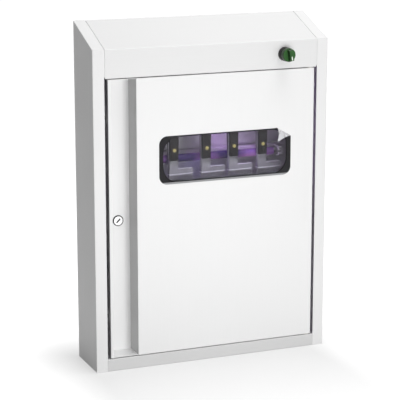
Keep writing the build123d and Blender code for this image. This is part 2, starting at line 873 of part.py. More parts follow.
def knife_blade(x):
    """The forged blade with its full bolster, heel and tang in one piece."""
    spine = x - bolster_width / 2
    edge = spine + blade_width
    bolster_foot = bolster_top - bolster_height
    heel_foot = bolster_foot - heel_height
    tip = heel_foot - blade_length
    half = bolster_thickness / 2
    neck = Plane.XY.offset(bolster_foot) * Pos(x, knife_y) * RectangleRounded(
        bolster_width, bolster_thickness, half / 2
    )
    bolster = extrude(neck, bolster_height)
    heel = Polygon(
        (spine, knife_y - half),
        (x + bolster_width / 2, knife_y - half),
        (edge, knife_y - blade_thickness),
        (edge, knife_y + blade_thickness),
        (x + bolster_width / 2, knife_y + half),
        (spine, knife_y + half),
        align=None,
    )
    forged = bolster + extrude(Plane.XY.offset(heel_foot) * heel, heel_height)
    belly = tip + blade_length * 0.45
    profile = make_face(
        [
            Line((spine, tip + blade_length * 0.12), (spine, heel_foot)),
            Line((spine, heel_foot), (edge, heel_foot)),
            Line((edge, heel_foot), (edge - 1.5, belly)),
            Spline((edge - 1.5, belly), (spine + 6, tip), tangents=((-0.06, -1), (-1, -0.55))),
            Line((spine + 6, tip), (spine, tip + blade_length * 0.12)),
        ]
    )
    wedge = Polygon(
        (spine, knife_y - blade_thickness / 2),
        (edge, knife_y - edge_thickness / 2),
        (edge, knife_y + edge_thickness / 2),
        (spine, knife_y + blade_thickness / 2),
        align=None,
    )
    ground = extrude(Plane.XY.offset(tip) * wedge, blade_length)
    ground &= plate(profile, knife_y - half, knife_y + half)
    tang = Pos(x, bolster_top) * handle_outline(0)
    knife = forged + ground + plate(tang, knife_y - tang_thickness / 2, knife_y + tang_thickness / 2)
    for z in rivet_heights():
        knife -= round_bar(rivet_radius + rivet_clearance, knife_y - half, knife_y + half, x, z)
    return knife


def rivet_heights():
    """Heights of the three rivets in a handle."""
    return [bolster_top + first_rivet + rivet_spacing * index for index in range(3)]


def knife_scales(x):
    """The two dark scales of a handle, one each side of the tang."""
    near = tang_thickness / 2
    far = near + scale_thickness
    scales = []
    for sign in (-1, 1):
        start, end = sorted((knife_y + sign * near, knife_y + sign * far))
        scale = plate(Pos(x, bolster_top) * handle_outline(scale_inset), start, end)
        outer = scale.edges().group_by(Axis.Y)[0 if sign < 0 else -1]
        scale = fillet(outer, scale_thickness / 4)
        for z in rivet_heights():
            scale -= round_bar(rivet_radius + rivet_clearance, start - 1, end + 1, x, z)
        scales.append(scale.solid())
    return Compound(scales)


def knife_rivets(x):
    """The three rivets through a handle."""
    half = tang_thickness / 2 + scale_thickness + rivet_rise
    rivets = [round_bar(rivet_radius, knife_y - half, knife_y + half, x, z) for z in rivet_heights()]
    return Compound([rivet.solid() for rivet in rivets])


def ballast():
    """The ballast: a laminated block between two slotted mounting tabs."""
    floor = shelf_z + sheet
    y = front_y + ballast_depth
    half = ballast_length / 2
    body = block(
        (ballast_x - half, ballast_x + half),
        (y - ballast_width / 2, y + ballast_width / 2),
        (floor, floor + ballast_height),
    )
    body = chamfer(body.edges().group_by(Axis.Z)[-1], tab_thickness)
    reach = half + tab_length
    tabs = block(
        (ballast_x - reach, ballast_x + reach),
        (y - ballast_width / 4, y + ballast_width / 4),
        (floor, floor + tab_thickness),
    )
    body += tabs
    for sign in (-1, 1):
        x = ballast_x + sign * (half + tab_length / 2)
        body -= post(tab_hole_radius, floor - 1, floor + ballast_height, x, y)
    return body


def starter_socket():
    """The round socket that the starter plugs into."""
    floor = shelf_z + sheet
    y = front_y + ballast_depth
    socket = post(starter_radius + socket_wall, floor, floor + socket_height, starter_x, y)
    return socket - post(starter_radius + lock_fit, floor + socket_wall, floor + 2 * socket_height, starter_x, y)


def starter():
    """The starter, a small canister."""
    floor = shelf_z + sheet + socket_wall
    y = front_y + ballast_depth
    can = post(starter_radius, floor, floor + starter_length, starter_x, y)
    return fillet(can.edges().group_by(Axis.Z)[-1], starter_radius / 6)


def terminal_block():
    """A row of screw terminals."""
    floor = shelf_z + sheet
    y = front_y + ballast_depth
    length = terminal_ways * terminal_pitch
    strip = block(
        (terminal_x, terminal_x + length),
        (y - terminal_width / 2, y + terminal_width / 2),
        (floor, floor + terminal_height / 2),
    )
    for way in range(terminal_ways):
        x = terminal_x + terminal_pitch * (way + 0.5)
        barrel = block(
            (x - terminal_pitch * 0.4, x + terminal_pitch * 0.4),
            (y - terminal_width / 2, y + terminal_width / 2),
            (floor, floor + terminal_height),
        )
        strip += barrel
        for sign in (-1, 1):
            screw_y = y + sign * terminal_width / 4
            strip -= post(terminal_pitch / 5, floor + terminal_height * 0.6, floor + 2 * terminal_height, x, screw_y)
    return strip


def reed_switch():
    """The switch on the shelf that puts the lamp out when the door opens."""
    floor = shelf_z + sheet
    start = front_y + header_return
    body = block(
        (reed_x - reed_length / 2, reed_x + reed_length / 2), (start, start + reed_width), (floor, floor + reed_height)
    )
    return chamfer(body.edges().group_by(Axis.Z)[-1], 1.0)


def door_magnet():
    """The magnet inside the top of the door, under the reed switch."""
    top = door_top - sheet
    start = front_y + sheet
    body = block(
        (reed_x - magnet_length / 2, reed_x + magnet_length / 2),
        (start, start + magnet_depth),
        (top - reed_height, top),
    )
    return chamfer(body.edges().group_by(Axis.Z)[0], 1.0)


def gland_turned(radius, start, end):
    """A round of the cable gland, its axis along X at the right side panel."""
    outline = Circle(radius) - Circle(gland_bore_radius)
    turned = extrude(Plane.YZ.offset(start) * outline, end - start)
    return Pos(cabinet_width / 2, front_y + gland_depth, gland_height) * turned


def cable_gland_body():
    """The gland's hexagon outside the panel and its thread through it."""
    hexagon = RegularPolygon(gland_hex / 2, 6, major_radius=False) - Circle(gland_bore_radius)
    head = extrude(Plane.YZ * hexagon, gland_hex_height)
    head = Pos(cabinet_width / 2, front_y + gland_depth, gland_height) * head
    return head + gland_turned(gland_thread_radius, -sheet - gland_inside, 0)


def cable_gland_dome():
    """The domed nut that closes the gland's seal on a cable."""
    dome = gland_turned(gland_dome_radius, gland_hex_height, gland_hex_height + gland_dome_height)
    rim = dome.edges().filter_by(GeomType.CIRCLE).sort_by(Axis.X)[-2:].sort_by(SortBy.RADIUS)[-1]
    return fillet(rim, gland_dome_radius / 3)


def cable_gland_nut():
    """The lock nut inside the side panel."""
    hexagon = RegularPolygon(gland_hex / 2, 6, major_radius=False) - Circle(gland_thread_radius + lock_fit)
    nut = extrude(Plane.YZ.offset(-sheet - gland_nut_height) * hexagon, gland_nut_height)
    return Pos(cabinet_width / 2, front_y + gland_depth, gland_height) * nut


nodes = {
    "left_side_panel": side_panel(-1),
    "right_side_panel": side_panel(1),
    "header_roof_panel": header_roof(),
    "floor_pan": floor_pan(),
    "back_panel": back_panel(),
    "joint_strips_left": joint_strips(-1),
    "joint_strips_right": joint_strips(1),
    "compartment_shelf": compartment_shelf(),
    "hinge_pins": hinge_pins(),
    "strike_bracket": strike_bracket(),
    "door_stops": door_stops(),
    "door_bumpers": door_bumpers(),
    "door_skin": door_skin(),
    "channel_ends": channel_ends(),
    "door_bushes": door_bushes(),
    "window_pane": window_pane(),
    "window_gasket": window_gasket(),
    "pane_frame": pane_frame(),
    "pane_studs": pane_studs(),
    "pane_nuts": pane_nuts(),
    "window_film": window_film(),
    "lock_housing": lock_housing(),
    "lock_nut": lock_nut(),
    "lock_plug": lock_plug(),
    "lock_cam": lock_cam(),
    "cam_screw": cam_screw(),
    "door_magnet": door_magnet(),
    "reed_switch": reed_switch(),
    "selector_collar": selector_collar(),
    "selector_nut": selector_nut(),
    "selector_contacts": selector_contacts(),
    "selector_knob": selector_knob(),
    "selector_pointer": selector_pointer(),
    "uv_tube": uv_tube(),
    "uv_tube_caps": tube_caps(),
    "lamp_holder_left": lamp_holder(-1),
    "lamp_holder_right": lamp_holder(1),
    "lamp_batten": lamp_batten(),
    "magnet_bar": magnet_bar(),
    "magnet_core": magnet_core(),
    "bar_brackets": bar_brackets(),
    "ballast": ballast(),
    "starter_socket": starter_socket(),
    "starter": starter(),
    "terminal_block": terminal_block(),
    "cable_gland_body": cable_gland_body(),
    "cable_gland_dome": cable_gland_dome(),
    "cable_gland_nut": cable_gland_nut(),
}
for number, knife_offset in enumerate(knife_offsets, start=1):
    knife_x = rack_x + knife_offset
    nodes[f"knife_{number}_blade"] = knife_blade(knife_x)
    nodes[f"knife_{number}_scales"] = knife_scales(knife_x)
    nodes[f"knife_{number}_rivets"] = knife_rivets(knife_x)

os.makedirs("parts", exist_ok=True)
for name, shape in nodes.items():
    export_step(shape, f"parts/{name}.step")
print(len(nodes), "nodes")
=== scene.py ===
import bmesh
import bpy
import math
from mathutils import Matrix, Vector


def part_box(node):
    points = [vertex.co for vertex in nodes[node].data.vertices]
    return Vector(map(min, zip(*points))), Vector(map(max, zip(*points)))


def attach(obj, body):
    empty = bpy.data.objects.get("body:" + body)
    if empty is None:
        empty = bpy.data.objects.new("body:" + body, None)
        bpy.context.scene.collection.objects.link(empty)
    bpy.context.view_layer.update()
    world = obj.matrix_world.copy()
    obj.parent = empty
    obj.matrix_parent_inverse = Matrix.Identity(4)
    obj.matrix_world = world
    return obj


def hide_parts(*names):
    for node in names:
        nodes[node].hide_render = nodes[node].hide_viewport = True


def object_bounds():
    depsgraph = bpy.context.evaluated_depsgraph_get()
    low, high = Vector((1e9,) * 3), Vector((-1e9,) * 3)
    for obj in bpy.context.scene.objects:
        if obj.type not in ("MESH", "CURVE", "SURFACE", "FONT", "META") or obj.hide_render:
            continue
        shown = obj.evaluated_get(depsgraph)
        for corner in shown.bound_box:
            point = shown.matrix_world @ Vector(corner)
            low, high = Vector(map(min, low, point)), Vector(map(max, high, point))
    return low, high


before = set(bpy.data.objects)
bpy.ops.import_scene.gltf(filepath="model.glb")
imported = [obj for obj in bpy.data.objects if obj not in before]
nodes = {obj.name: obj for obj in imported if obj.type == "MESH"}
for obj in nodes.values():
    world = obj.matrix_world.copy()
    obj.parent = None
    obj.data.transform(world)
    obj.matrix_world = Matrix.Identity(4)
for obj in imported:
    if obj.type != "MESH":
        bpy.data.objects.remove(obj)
cad_low, cad_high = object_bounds()


# Viewpoint: left of the cabinet and a little above its middle, as the photograph was taken, with
# a long lens that keeps the upright edges almost parallel.
camera_data = bpy.data.cameras.new("front_left_camera")
camera_data.sensor_width = 36
camera_data.lens = 141.87
camera = bpy.data.objects.new("front_left_camera", camera_data)
camera.location = (-1.19102, -2.89196, 1.03712)
picture_middle = Vector((-0.02843, -0.0575, 0.33442))
line_of_sight = picture_middle - camera.location
camera.rotation_euler = line_of_sight.to_track_quat("-Z", "Y").to_euler()
bpy.context.scene.collection.objects.link(camera)
bpy.context.scene.camera = camera
bpy.context.scene.view_settings.view_transform = "Standard"


# Floor and studio: the cabinet stands on a plain white floor that keeps its soft shadow, lit by a
# broad soft lamp in front, one overhead and one behind. Near the foot the floor also carries a
# painted shadow.
def new_finish(name, **constants):
    """A material with its shader; what is the same all over is set on the shader's own sockets."""
    material = bpy.data.materials.new(name)
    material.use_nodes = True
    tree = material.node_tree
    shader = tree.nodes["Principled BSDF"]
    for label, value in constants.items():
        shader.inputs[label.replace("_", " ")].default_value = value
    return material, tree, shader


def wire(tree, *pairs):
    for start, end in pairs:
        tree.links.new(start, end)


def feed(tree, socket, value):
    """Gives a node's input a link where the value is a socket, and else the value itself."""
    if isinstance(value, bpy.types.NodeSocket):
        tree.links.new(value, socket)
    else:
        socket.default_value = value


def math_step(tree, kind, first, second=0.0):
    """A Math node; each side is a socket or a number."""
    node = tree.nodes.new("ShaderNodeMath")
    node.operation = kind
    feed(tree, node.inputs[0], first)
    feed(tree, node.inputs[1], second)
    return node.outputs[0]


def blend(tree, value, start, end, at_start, at_end):
    """A Map Range node, which goes from one level to the other and stays there beyond the ends."""
    node = tree.nodes.new("ShaderNodeMapRange")
    labels = ("Value", "From Min", "From Max", "To Min", "To Max")
    for label, amount in zip(labels, (value, start, end, at_start, at_end)):
        feed(tree, node.inputs[label], amount)
    return node.outputs["Result"]


def axes_of(tree, kind="Object"):
    """The x, y and z sockets of a coordinate that travels with the piece."""
    axes = tree.nodes.new("ShaderNodeSeparateXYZ")
    wire(tree, (tree.nodes.new("ShaderNodeTexCoord").outputs[kind], axes.inputs["Vector"]))
    return axes.outputs[:3]


def length_of(tree, first, second):
    """The length of the long side over two sides at right angles."""
    squares = [math_step(tree, "POWER", side, 2) for side in (first, second)]
    return math_step(tree, "POWER", math_step(tree, "ADD", *squares), 0.5)


def seen_directly(tree):
    """One where a camera, mirror or glass ray arrives, nought where light is gathered."""
    path = tree.nodes.new("ShaderNodeLightPath")
    total = path.outputs["Is Camera Ray"]
    for kind in ("Is Glossy Ray", "Is Transmission Ray"):
        total = math_step(tree, "MAXIMUM", total, path.outputs[kind])
    return total


def floor_finish():
    """White to the eye, with a painted shadow: greyer close to the foot, where the cabinet keeps
    the light away.
    """
    foot_middle, foot_half_width = -0.02, 0.23
    side_pace, front_pace = 1.1, 0.17
    painted_shadow_reach, painted_shadow_at_foot = 0.155, 0.59
    material, tree, shader = new_finish(
        "studio_floor",
        Base_Color=(0.26, 0.26, 0.26, 1),
        Roughness=0.9,
        Specular_IOR_Level=0.0,
        Emission_Color=(1, 1, 1, 1),
    )
    x, y, z = axes_of(tree)
    from_middle = math_step(tree, "ABSOLUTE", math_step(tree, "SUBTRACT", x, foot_middle))
    beside = math_step(tree, "MAXIMUM", math_step(tree, "SUBTRACT", from_middle, foot_half_width))
    behind = math_step(tree, "MAXIMUM", math_step(tree, "SUBTRACT", y, cad_high[1]))
    before = math_step(tree, "MAXIMUM", math_step(tree, "SUBTRACT", cad_low[1], y))
    across = math_step(tree, "MULTIPLY", beside, side_pace)
    along = math_step(tree, "ADD", behind, math_step(tree, "MULTIPLY", before, front_pace))
    # Painted shadow: the floor's whiteness falls off towards the cabinet's footprint.
    whiteness = blend(tree, length_of(tree, across, along), 0.0, painted_shadow_reach, painted_shadow_at_foot, 1.0)
    seen = math_step(tree, "MULTIPLY", seen_directly(tree), whiteness)
    wire(tree, (seen, shader.inputs["Emission Strength"]))
    return material


bpy.ops.mesh.primitive_plane_add(size=40, location=(0, 0, -0.0005))
floor = bpy.context.object
floor.name = "studio_floor"
floor.data.materials.append(floor_finish())

world = bpy.data.worlds.new("studio_air")
world.use_nodes = True
bpy.context.scene.world = world
air_tree = world.node_tree
air = air_tree.nodes["Background"]
air.inputs["Color"].default_value = (1, 1, 1, 1)
air_light, air_seen = 0.21, 1.0
air_strength = blend(air_tree, seen_directly(air_tree), 0.0, 1.0, air_light, air_seen)
wire(air_tree, (air_strength, air.inputs["Strength"]))


def soft_lamp(name, place, target, size, watts):
    """A square soft lamp that no mirror or glossy face shows."""
    data = bpy.data.lights.new(name, "AREA")
    data.size = size
    data.energy = watts
    lamp = bpy.data.objects.new(name, data)
    lamp.location = place
    lamp.rotation_euler = (Vector(target) - Vector(place)).to_track_quat("-Z", "Y").to_euler()
    lamp.visible_glossy = False
    bpy.context.scene.collection.objects.link(lamp)
    return lamp


soft_lamp("front_softbox", (-0.02, -1.3, 0.4), target=(0.03, 0, 0.38), size=0.6, watts=13.2)
soft_lamp("overhead_softbox", (0.3, -0.3, 2.3), target=(0, 0, 0.4), size=1.0, watts=27)
soft_lamp("back_softbox", (0.5, 1.6, 0.8), target=(0.1, 0, 0.35), size=0.9, watts=9)


# Cabinet shell: side panels, header with roof, floor pan, back and shelf are folded from 1 mm
# stainless sheet with a satin finish, spot-welded to strips behind the seams.
def effect_group(name, inputs, outputs):
    """A shader node group with named inputs and outputs, and its two end nodes."""
    tree = bpy.data.node_groups.new(name, "ShaderNodeTree")
    for label, kind, value in inputs:
        tree.interface.new_socket(label, in_out="INPUT", socket_type=kind).default_value = value
    for label, kind in outputs:
        tree.interface.new_socket(label, in_out="OUTPUT", socket_type=kind)
    return tree, tree.nodes.new("NodeGroupInput"), tree.nodes.new("NodeGroupOutput")


def place_group(tree, group, values):
    effect = tree.nodes.new("ShaderNodeGroup")
    effect.node_tree = group
    for label, value in values.items():
        effect.inputs[label].default_value = value
    return effect


def noise_on(tree, vector, scale, detail):
    node = tree.nodes.new("ShaderNodeTexNoise")
    node.inputs["Detail"].default_value = detail
    wire(tree, (vector, node.inputs["Vector"]))
    feed(tree, node.inputs["Scale"], scale)
    return node.outputs["Fac"]


def scaled(tree, colour, share):
    node = tree.nodes.new("ShaderNodeVectorMath")
    node.operation = "SCALE"
    wire(tree, (colour, node.inputs[0]), (share, node.inputs["Scale"]))
    return node.outputs["Vector"]


def sway_finish(tree, start, end, pattern, rough_share):
    """Lets a pattern sway the colour by the tint, and the roughness by a share of its own."""
    swing = math_step(tree, "SUBTRACT", pattern, 0.5)
    shade = math_step(tree, "ADD", math_step(tree, "MULTIPLY", swing, start.outputs["Tint"]), 1.0)
    rough = math_step(tree, "MULTIPLY", swing, rough_share)
    rough = math_step(tree, "ADD", rough, start.outputs["Roughness"])
    toned = scaled(tree, start.outputs["Colour"], shade)
    wire(tree, (toned, end.inputs["Colour"]), (rough, end.inputs["Roughness"]))


finish_outputs = [
    ("Colour", "NodeSocketColor"),
    ("Roughness", "NodeSocketFloat"),
    ("Height", "NodeSocketFloat"),
]


def satin_sheet_effect():
    """Fine polishing lines along one axis, with faint cloudy smears across them."""
    line_share, cloud_share, cloud_scale = 0.6, 0.4, 7.0
    tree, start, end = effect_group(
        "satin_sheet",
        [
            ("Colour", "NodeSocketColor", (0.8, 0.8, 0.8, 1)),
            ("Stretch", "NodeSocketVector", (1, 1, 1)),
            ("Tint", "NodeSocketFloat", 0.05),
            ("Roughness", "NodeSocketFloat", 0.4),
        ],
        finish_outputs,
    )
    place = tree.nodes.new("ShaderNodeTexCoord").outputs["Object"]
    stretched = tree.nodes.new("ShaderNodeMapping")
    wire(
        tree,
        (place, stretched.inputs["Vector"]),
        (start.outputs["Stretch"], stretched.inputs["Scale"]),
    )
    lines = noise_on(tree, stretched.outputs["Vector"], 1.0, 3)
    clouds = noise_on(tree, place, cloud_scale, 4)
    line_part = math_step(tree, "MULTIPLY", lines, line_share)
    cloud_part = math_step(tree, "MULTIPLY", clouds, cloud_share)
    sway_finish(tree, start, end, math_step(tree, "ADD", line_part, cloud_part), rough_share=0.35)
    wire(tree, (lines, end.inputs["Height"]))
    return tree


def painted_facing_shade_effect():
    """Painted shade: tones the colour down on the walls that look one way along a direction."""
    tree, start, end = effect_group(
        "painted_facing_shade",
        [
            ("Colour", "NodeSocketColor", (0.8, 0.8, 0.8, 1)),
            ("Direction", "NodeSocketVector", (1, 0, 0)),
            ("Plain At", "NodeSocketFloat", -0.5),
            ("Toned At", "NodeSocketFloat", -0.9),
            ("Tone", "NodeSocketFloat", 0.7),
        ],
        [("Colour", "NodeSocketColor")],
    )
    facing = tree.nodes.new("ShaderNodeVectorMath")
    facing.operation = "DOT_PRODUCT"
    wire(
        tree,
        (tree.nodes.new("ShaderNodeTexCoord").outputs["Normal"], facing.inputs[0]),
        (start.outputs["Direction"], facing.inputs[1]),
    )
    plain_at, toned_at, tone = (start.outputs[label] for label in ("Plain At", "Toned At", "Tone"))
    share = blend(tree, facing.outputs["Value"], plain_at, toned_at, 1.0, tone)
    wire(tree, (scaled(tree, start.outputs["Colour"], share), end.inputs["Colour"]))
    return tree


satin_sheet = satin_sheet_effect()
painted_facing_shade = painted_facing_shade_effect()


def place_effect(tree, group, shader, *, relief, **values):
    """Puts an effect in a material and feeds the shader's colour, roughness and relief from it."""
    effect = place_group(tree, group, values)
    bump = tree.nodes.new("ShaderNodeBump")
    bump.inputs["Strength"].default_value = 1.0
    bump.inputs["Distance"].default_value = relief
    wire(
        tree,
        (effect.outputs["Colour"], shader.inputs["Base Color"]),
        (effect.outputs["Roughness"], shader.inputs["Roughness"]),
        (effect.outputs["Height"], bump.inputs["Height"]),
        (bump.outputs["Normal"], shader.inputs["Normal"]),
    )


def colour_so_far(shader):
    """The socket that feeds the shader's colour now."""
    return shader.inputs["Base Color"].links[0].from_socket


# Painted shade, laid over the material's colour on the walls that face one way.
def paint_wall_shade(material, direction, plain_at, toned_at, tone):
    tree = material.node_tree
    shader = tree.nodes["Principled BSDF"]
    values = {"Direction": direction, "Plain At": plain_at, "Toned At": toned_at, "Tone": tone}
    effect = place_group(tree, painted_facing_shade, values)
    wire(
        tree,
        (colour_so_far(shader), effect.inputs["Colour"]),
        (effect.outputs["Colour"], shader.inputs["Base Color"]),
    )
    return material


def satin_steel(name, lines, tone=0.8, colour=None, metal=0.15, roughness=0.42):
    material, tree, shader = new_finish(name, Metallic=metal)
    place_effect(
        tree, satin_sheet, shader, relief=0.000004,
        Colour=colour or (tone, tone, tone, 1), Stretch=lines, Tint=0.06, Roughness=roughness,
    )
    return material


def shaded_to_the_left(name, tone, left_shade):
    """Upright satin steel with painted shade on its left-facing walls, which look darker."""
    steel = satin_steel(name, upright_lines, tone=tone)
    return paint_wall_shade(steel, (1, 0, 0), plain_at=-0.5, toned_at=-0.9, tone=left_shade)


def dress(material, *names):
    """Gives CAD nodes their finish."""
    for name in names:
        slots = nodes[name].data.materials
        slots.clear()
        slots.append(material)


upright_lines = (900, 900, 12)
level_lines = (12, 900, 900)
# The side panels' left-facing walls get a little painted shade.
dress(shaded_to_the_left("satin_steel_side", 0.8, 0.9), "left_side_panel", "right_side_panel")
upright_grain = satin_steel("satin_steel_upright", upright_lines)
dress(upright_grain, "back_panel", "joint_strips_left", "joint_strips_right")
header_grain = satin_steel("satin_steel_header", level_lines, tone=0.77)
dress(header_grain, "header_roof_panel", "compartment_shelf")
# The floor pan's rail is the same sheet in a darker tone, painted shade low on the cabinet.
shaded_rail_grain = satin_steel("satin_steel_rail", level_lines, tone=0.66)
dress(shaded_rail_grain, "floor_pan")


# Door: one satin sheet folded into the flat panel, the grip channel, the lip and the returns, with
# end plates welded into the channel and the pane frame clamped behind the window.
# The door's left-facing returns and channel wall get strong painted shade.
door_grain = shaded_to_the_left("satin_steel_door", 0.83, 0.65)
dress(door_grain, "door_skin", "channel_ends", "pane_frame")


# Fixings and pivots: zinc-plated steel pins, studs, nuts, cam and screws, a little duller and bluer
# than the sheet. The pins turn in white nylon bushes, and black rubber cushions door and pane.
def fine_grain_effect():
    """The fine orange-peel grain of plating, paint and moulded plastic, with slow tone changes."""
    tone_scale = 45.0
    tree, start, end = effect_group(
        "fine_grain",
        [
            ("Colour", "NodeSocketColor", (0.5, 0.5, 0.5, 1)),
            ("Grain", "NodeSocketFloat", 900.0),
            ("Tint", "NodeSocketFloat", 0.15),
            ("Roughness", "NodeSocketFloat", 0.5),
        ],
        finish_outputs,
    )
    place = tree.nodes.new("ShaderNodeTexCoord").outputs["Object"]
    fine = noise_on(tree, place, start.outputs["Grain"], 2)
    broad = noise_on(tree, place, tone_scale, 4)
    sway_finish(tree, start, end, broad, rough_share=0.3)
    wire(tree, (fine, end.inputs["Height"]))
    return tree


fine_grain = fine_grain_effect()


def grained(name, colour, roughness, relief=0.00002, grain=900.0, tint=0.15, **constants):
    material, tree, shader = new_finish(name, **constants)
    place_effect(
        tree, fine_grain, shader, relief=relief,
        Colour=(*colour, 1), Grain=grain, Tint=tint, Roughness=roughness,
    )
    return material


zinc = grained("zinc_plate", (0.62, 0.65, 0.68), 0.35, relief=0.000008, Metallic=0.9)
dress(zinc, "hinge_pins", "pane_studs", "pane_nuts")
dress(zinc, "lock_nut", "lock_cam", "cam_screw", "selector_nut")
nylon = grained("white_nylon", (0.78, 0.77, 0.72), 0.45)
dress(nylon, "door_bushes")
rubber = grained("black_rubber", (0.02, 0.02, 0.021), 0.7, relief=0.00003)
dress(rubber, "door_bumpers", "window_gasket")
dress(upright_grain, "door_stops")


# Cam lock in the channel floor: a chromed zinc housing with a turning plug and a slanting key slot,
# whose cam catches a bracket of sheet steel. The flange's rim and the key slot carry painted shade.
def lay_colour(tree, shader, mask, colour):
    """Lays a colour over the shader's own where the mask is one. A Mix node's colour sockets share
    their names with its number sockets, so they are taken by their places."""
    mix = tree.nodes.new("ShaderNodeMix")
    mix.data_type = "RGBA"
    share, under, laid = (mix.inputs[place] for place in (0, 6, 7))
    laid.default_value = colour
    wire(
        tree,
        (mask, share),
        (colour_so_far(shader), under),
        (mix.outputs[2], shader.inputs["Base Color"]),
    )


def chrome_with_painted_shade(name, shade_mask):
    """Bright chrome with painted shade, dark where the mask that the given function makes is one.
    """
    material = grained(name, (0.82, 0.82, 0.83), 0.2, relief=0.000003, tint=0.05, Metallic=0.85)
    tree = material.node_tree
    lay_colour(tree, tree.nodes["Principled BSDF"], shade_mask(tree), (0.02, 0.02, 0.022, 1))
    return material


housing_low, housing_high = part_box("lock_housing")
lock_x = (housing_low[0] + housing_high[0]) / 2
lock_z = (housing_low[2] + housing_high[2]) / 2
rim_width = 0.0019
face_radius = (housing_high[0] - housing_low[0]) / 2 - rim_width
slot_reach = 0.0074
slot_width = 0.002


def from_lock_middle(tree):
    x, y, z = axes_of(tree)
    return math_step(tree, "SUBTRACT", x, lock_x), math_step(tree, "SUBTRACT", z, lock_z)


def key_slot_shade(tree):
    """Painted shade for the slot's hollow: one in a narrow band at 45 degrees across the plug, a
    little wider than the cut slot.
    """
    right, up = from_lock_middle(tree)
    along = math_step(tree, "ABSOLUTE", math_step(tree, "ADD", right, up))
    across = math_step(tree, "ABSOLUTE", math_step(tree, "SUBTRACT", right, up))
    short = math_step(tree, "LESS_THAN", along, slot_reach)
    return math_step(tree, "MULTIPLY", math_step(tree, "LESS_THAN", across, slot_width), short)


# Painted shade round the flange's rim, outside the bright face.
def flange_rim_shade(tree):
    return math_step(tree, "GREATER_THAN", length_of(tree, *from_lock_middle(tree)), face_radius)


dress(chrome_with_painted_shade("plug_chrome", key_slot_shade), "lock_plug")
dress(chrome_with_painted_shade("housing_chrome", flange_rim_shade), "lock_housing")
dress(upright_grain, "strike_bracket")


# Selector switch: a black moulded collar holds a green moulded knob with a pale inlay along its
# grip. A ring nut and a grey contact block hold it from behind the header. The knob's turned flank
# has painted shade, darker than the face of its grip.
black_plastic = grained("black_plastic", (0.014, 0.012, 0.013), 0.4, Specular_IOR_Level=0.12)
dress(black_plastic, "selector_collar")
green_plastic = grained(
    "green_plastic", (0.034, 0.1, 0.03), 0.3, tint=0.4, Specular_IOR_Level=0.18,
)
# Painted shade on the knob's flank, which faces away from the front.
paint_wall_shade(green_plastic, (0, 1, 0), plain_at=-0.8, toned_at=-0.2, tone=0.35)
dress(green_plastic, "selector_knob")
pale_inlay = grained("pale_inlay", (0.75, 0.8, 0.72), 0.5)
dress(pale_inlay, "selector_pointer")
grey_plastic = grained("grey_plastic", (0.35, 0.36, 0.37), 0.5)
dress(grey_plastic, "selector_contacts")


# Electrical pieces above the shelf: a ballast in varnished steel, a terminal block and the starter
# in grey plastic, and a black cable gland through the right side panel. A magnet in the door works
# the reed switch, so that the tube goes out when the door opens.
dress(black_plastic, "cable_gland_body", "cable_gland_dome", "cable_gland_nut")
dress(grey_plastic, "reed_switch", "door_magnet", "terminal_block", "starter")
white_plastic = grained("white_plastic", (0.8, 0.8, 0.78), 0.45)
dress(white_plastic, "starter_socket")
varnished_steel = grained("varnished_steel", (0.12, 0.12, 0.13), 0.45, Metallic=0.4)
dress(varnished_steel, "ballast")


# Window: a clear pane behind the cut-out. The smoked film stuck over it has come loose at its upper
# right corner, which has curled back and shows its silvery underside.
film_half_width = 0.1425
film_half_height = 0.0485
film_corner_radius = 0.017
film_thickness = 0.0001
film_middle = Vector((0.02755, -0.0576, 0.4201))
film_foot = film_middle.z - film_half_height
opening_half_width = 0.1345
opening_half_height = 0.0465
opening_corner = 0.034


def clear_sheet():
    material, tree, shader = new_finish("clear_pane", IOR=1.45, Transmission_Weight=1.0)
    place_effect(
        tree, fine_grain, shader, relief=0.000001,
        Colour=(0.96, 0.97, 0.98, 1), Grain=150.0, Tint=0.05, Roughness=0.02,
    )
    return material


def cut_out_mask(tree, x, z):
    """One over the window's opening and nought where the film lies on the steel round it."""
    soft_edge = 0.001
    past_corner = []
    for place, middle, half in (
        (x, film_middle.x, opening_half_width),
        (z, film_middle.z, opening_half_height),
    ):
        offset = math_step(tree, "ABSOLUTE", math_step(tree, "SUBTRACT", place, middle))
        beyond = math_step(tree, "SUBTRACT", offset, half - opening_corner)
        past_corner.append(math_step(tree, "MAXIMUM", beyond))
    reach = length_of(tree, *past_corner)
    return blend(tree, reach, opening_corner, opening_corner - soft_edge, 0.0, 1.0)


def smoked_sheet():
    """Each of the film's two faces holds back part of the light, and more of it over the steel.
    Its foot shows a pale bar of painted highlight, for the lit top of the opening's lower ledge."""
    held_over_steel, held_over_opening = 0.64, 0.3
    bar_solid, bar_end = 0.0036, 0.0042
    material, tree, shader = new_finish("smoked_film", IOR=1.45, Specular_IOR_Level=0.08)
    place_effect(
        tree, fine_grain, shader, relief=0.000002,
        Colour=(0.02, 0.019, 0.022, 1), Grain=150.0, Tint=0.2, Roughness=0.12,
    )
    x, y, z = axes_of(tree)
    # Painted highlight: a pale bar at the film's foot for the lit top of the opening's lower ledge.
    painted_ledge_light = blend(tree, z, film_foot + bar_end, film_foot + bar_solid, 0.0, 1.0)
    lay_colour(tree, shader, painted_ledge_light, (0.3, 0.3, 0.31, 1))
    held = blend(tree, cut_out_mask(tree, x, z), 0.0, 1.0, held_over_steel, held_over_opening)
    wire(tree, (math_step(tree, "MAXIMUM", held, painted_ledge_light), shader.inputs["Alpha"]))
    return material


dress(clear_sheet(), "window_pane")

film_corner = Vector((film_half_width, 0, film_half_height)) + film_middle
loose_along_top = 0.0361
loose_down_side = 0.0202
fold_start = film_corner - Vector((loose_along_top, 0, 0))
fold_end = film_corner - Vector((0, 0, loose_down_side))
along_fold = (fold_end - fold_start).normalized()
outside_fold = Vector((-along_fold.z, 0, along_fold.x))

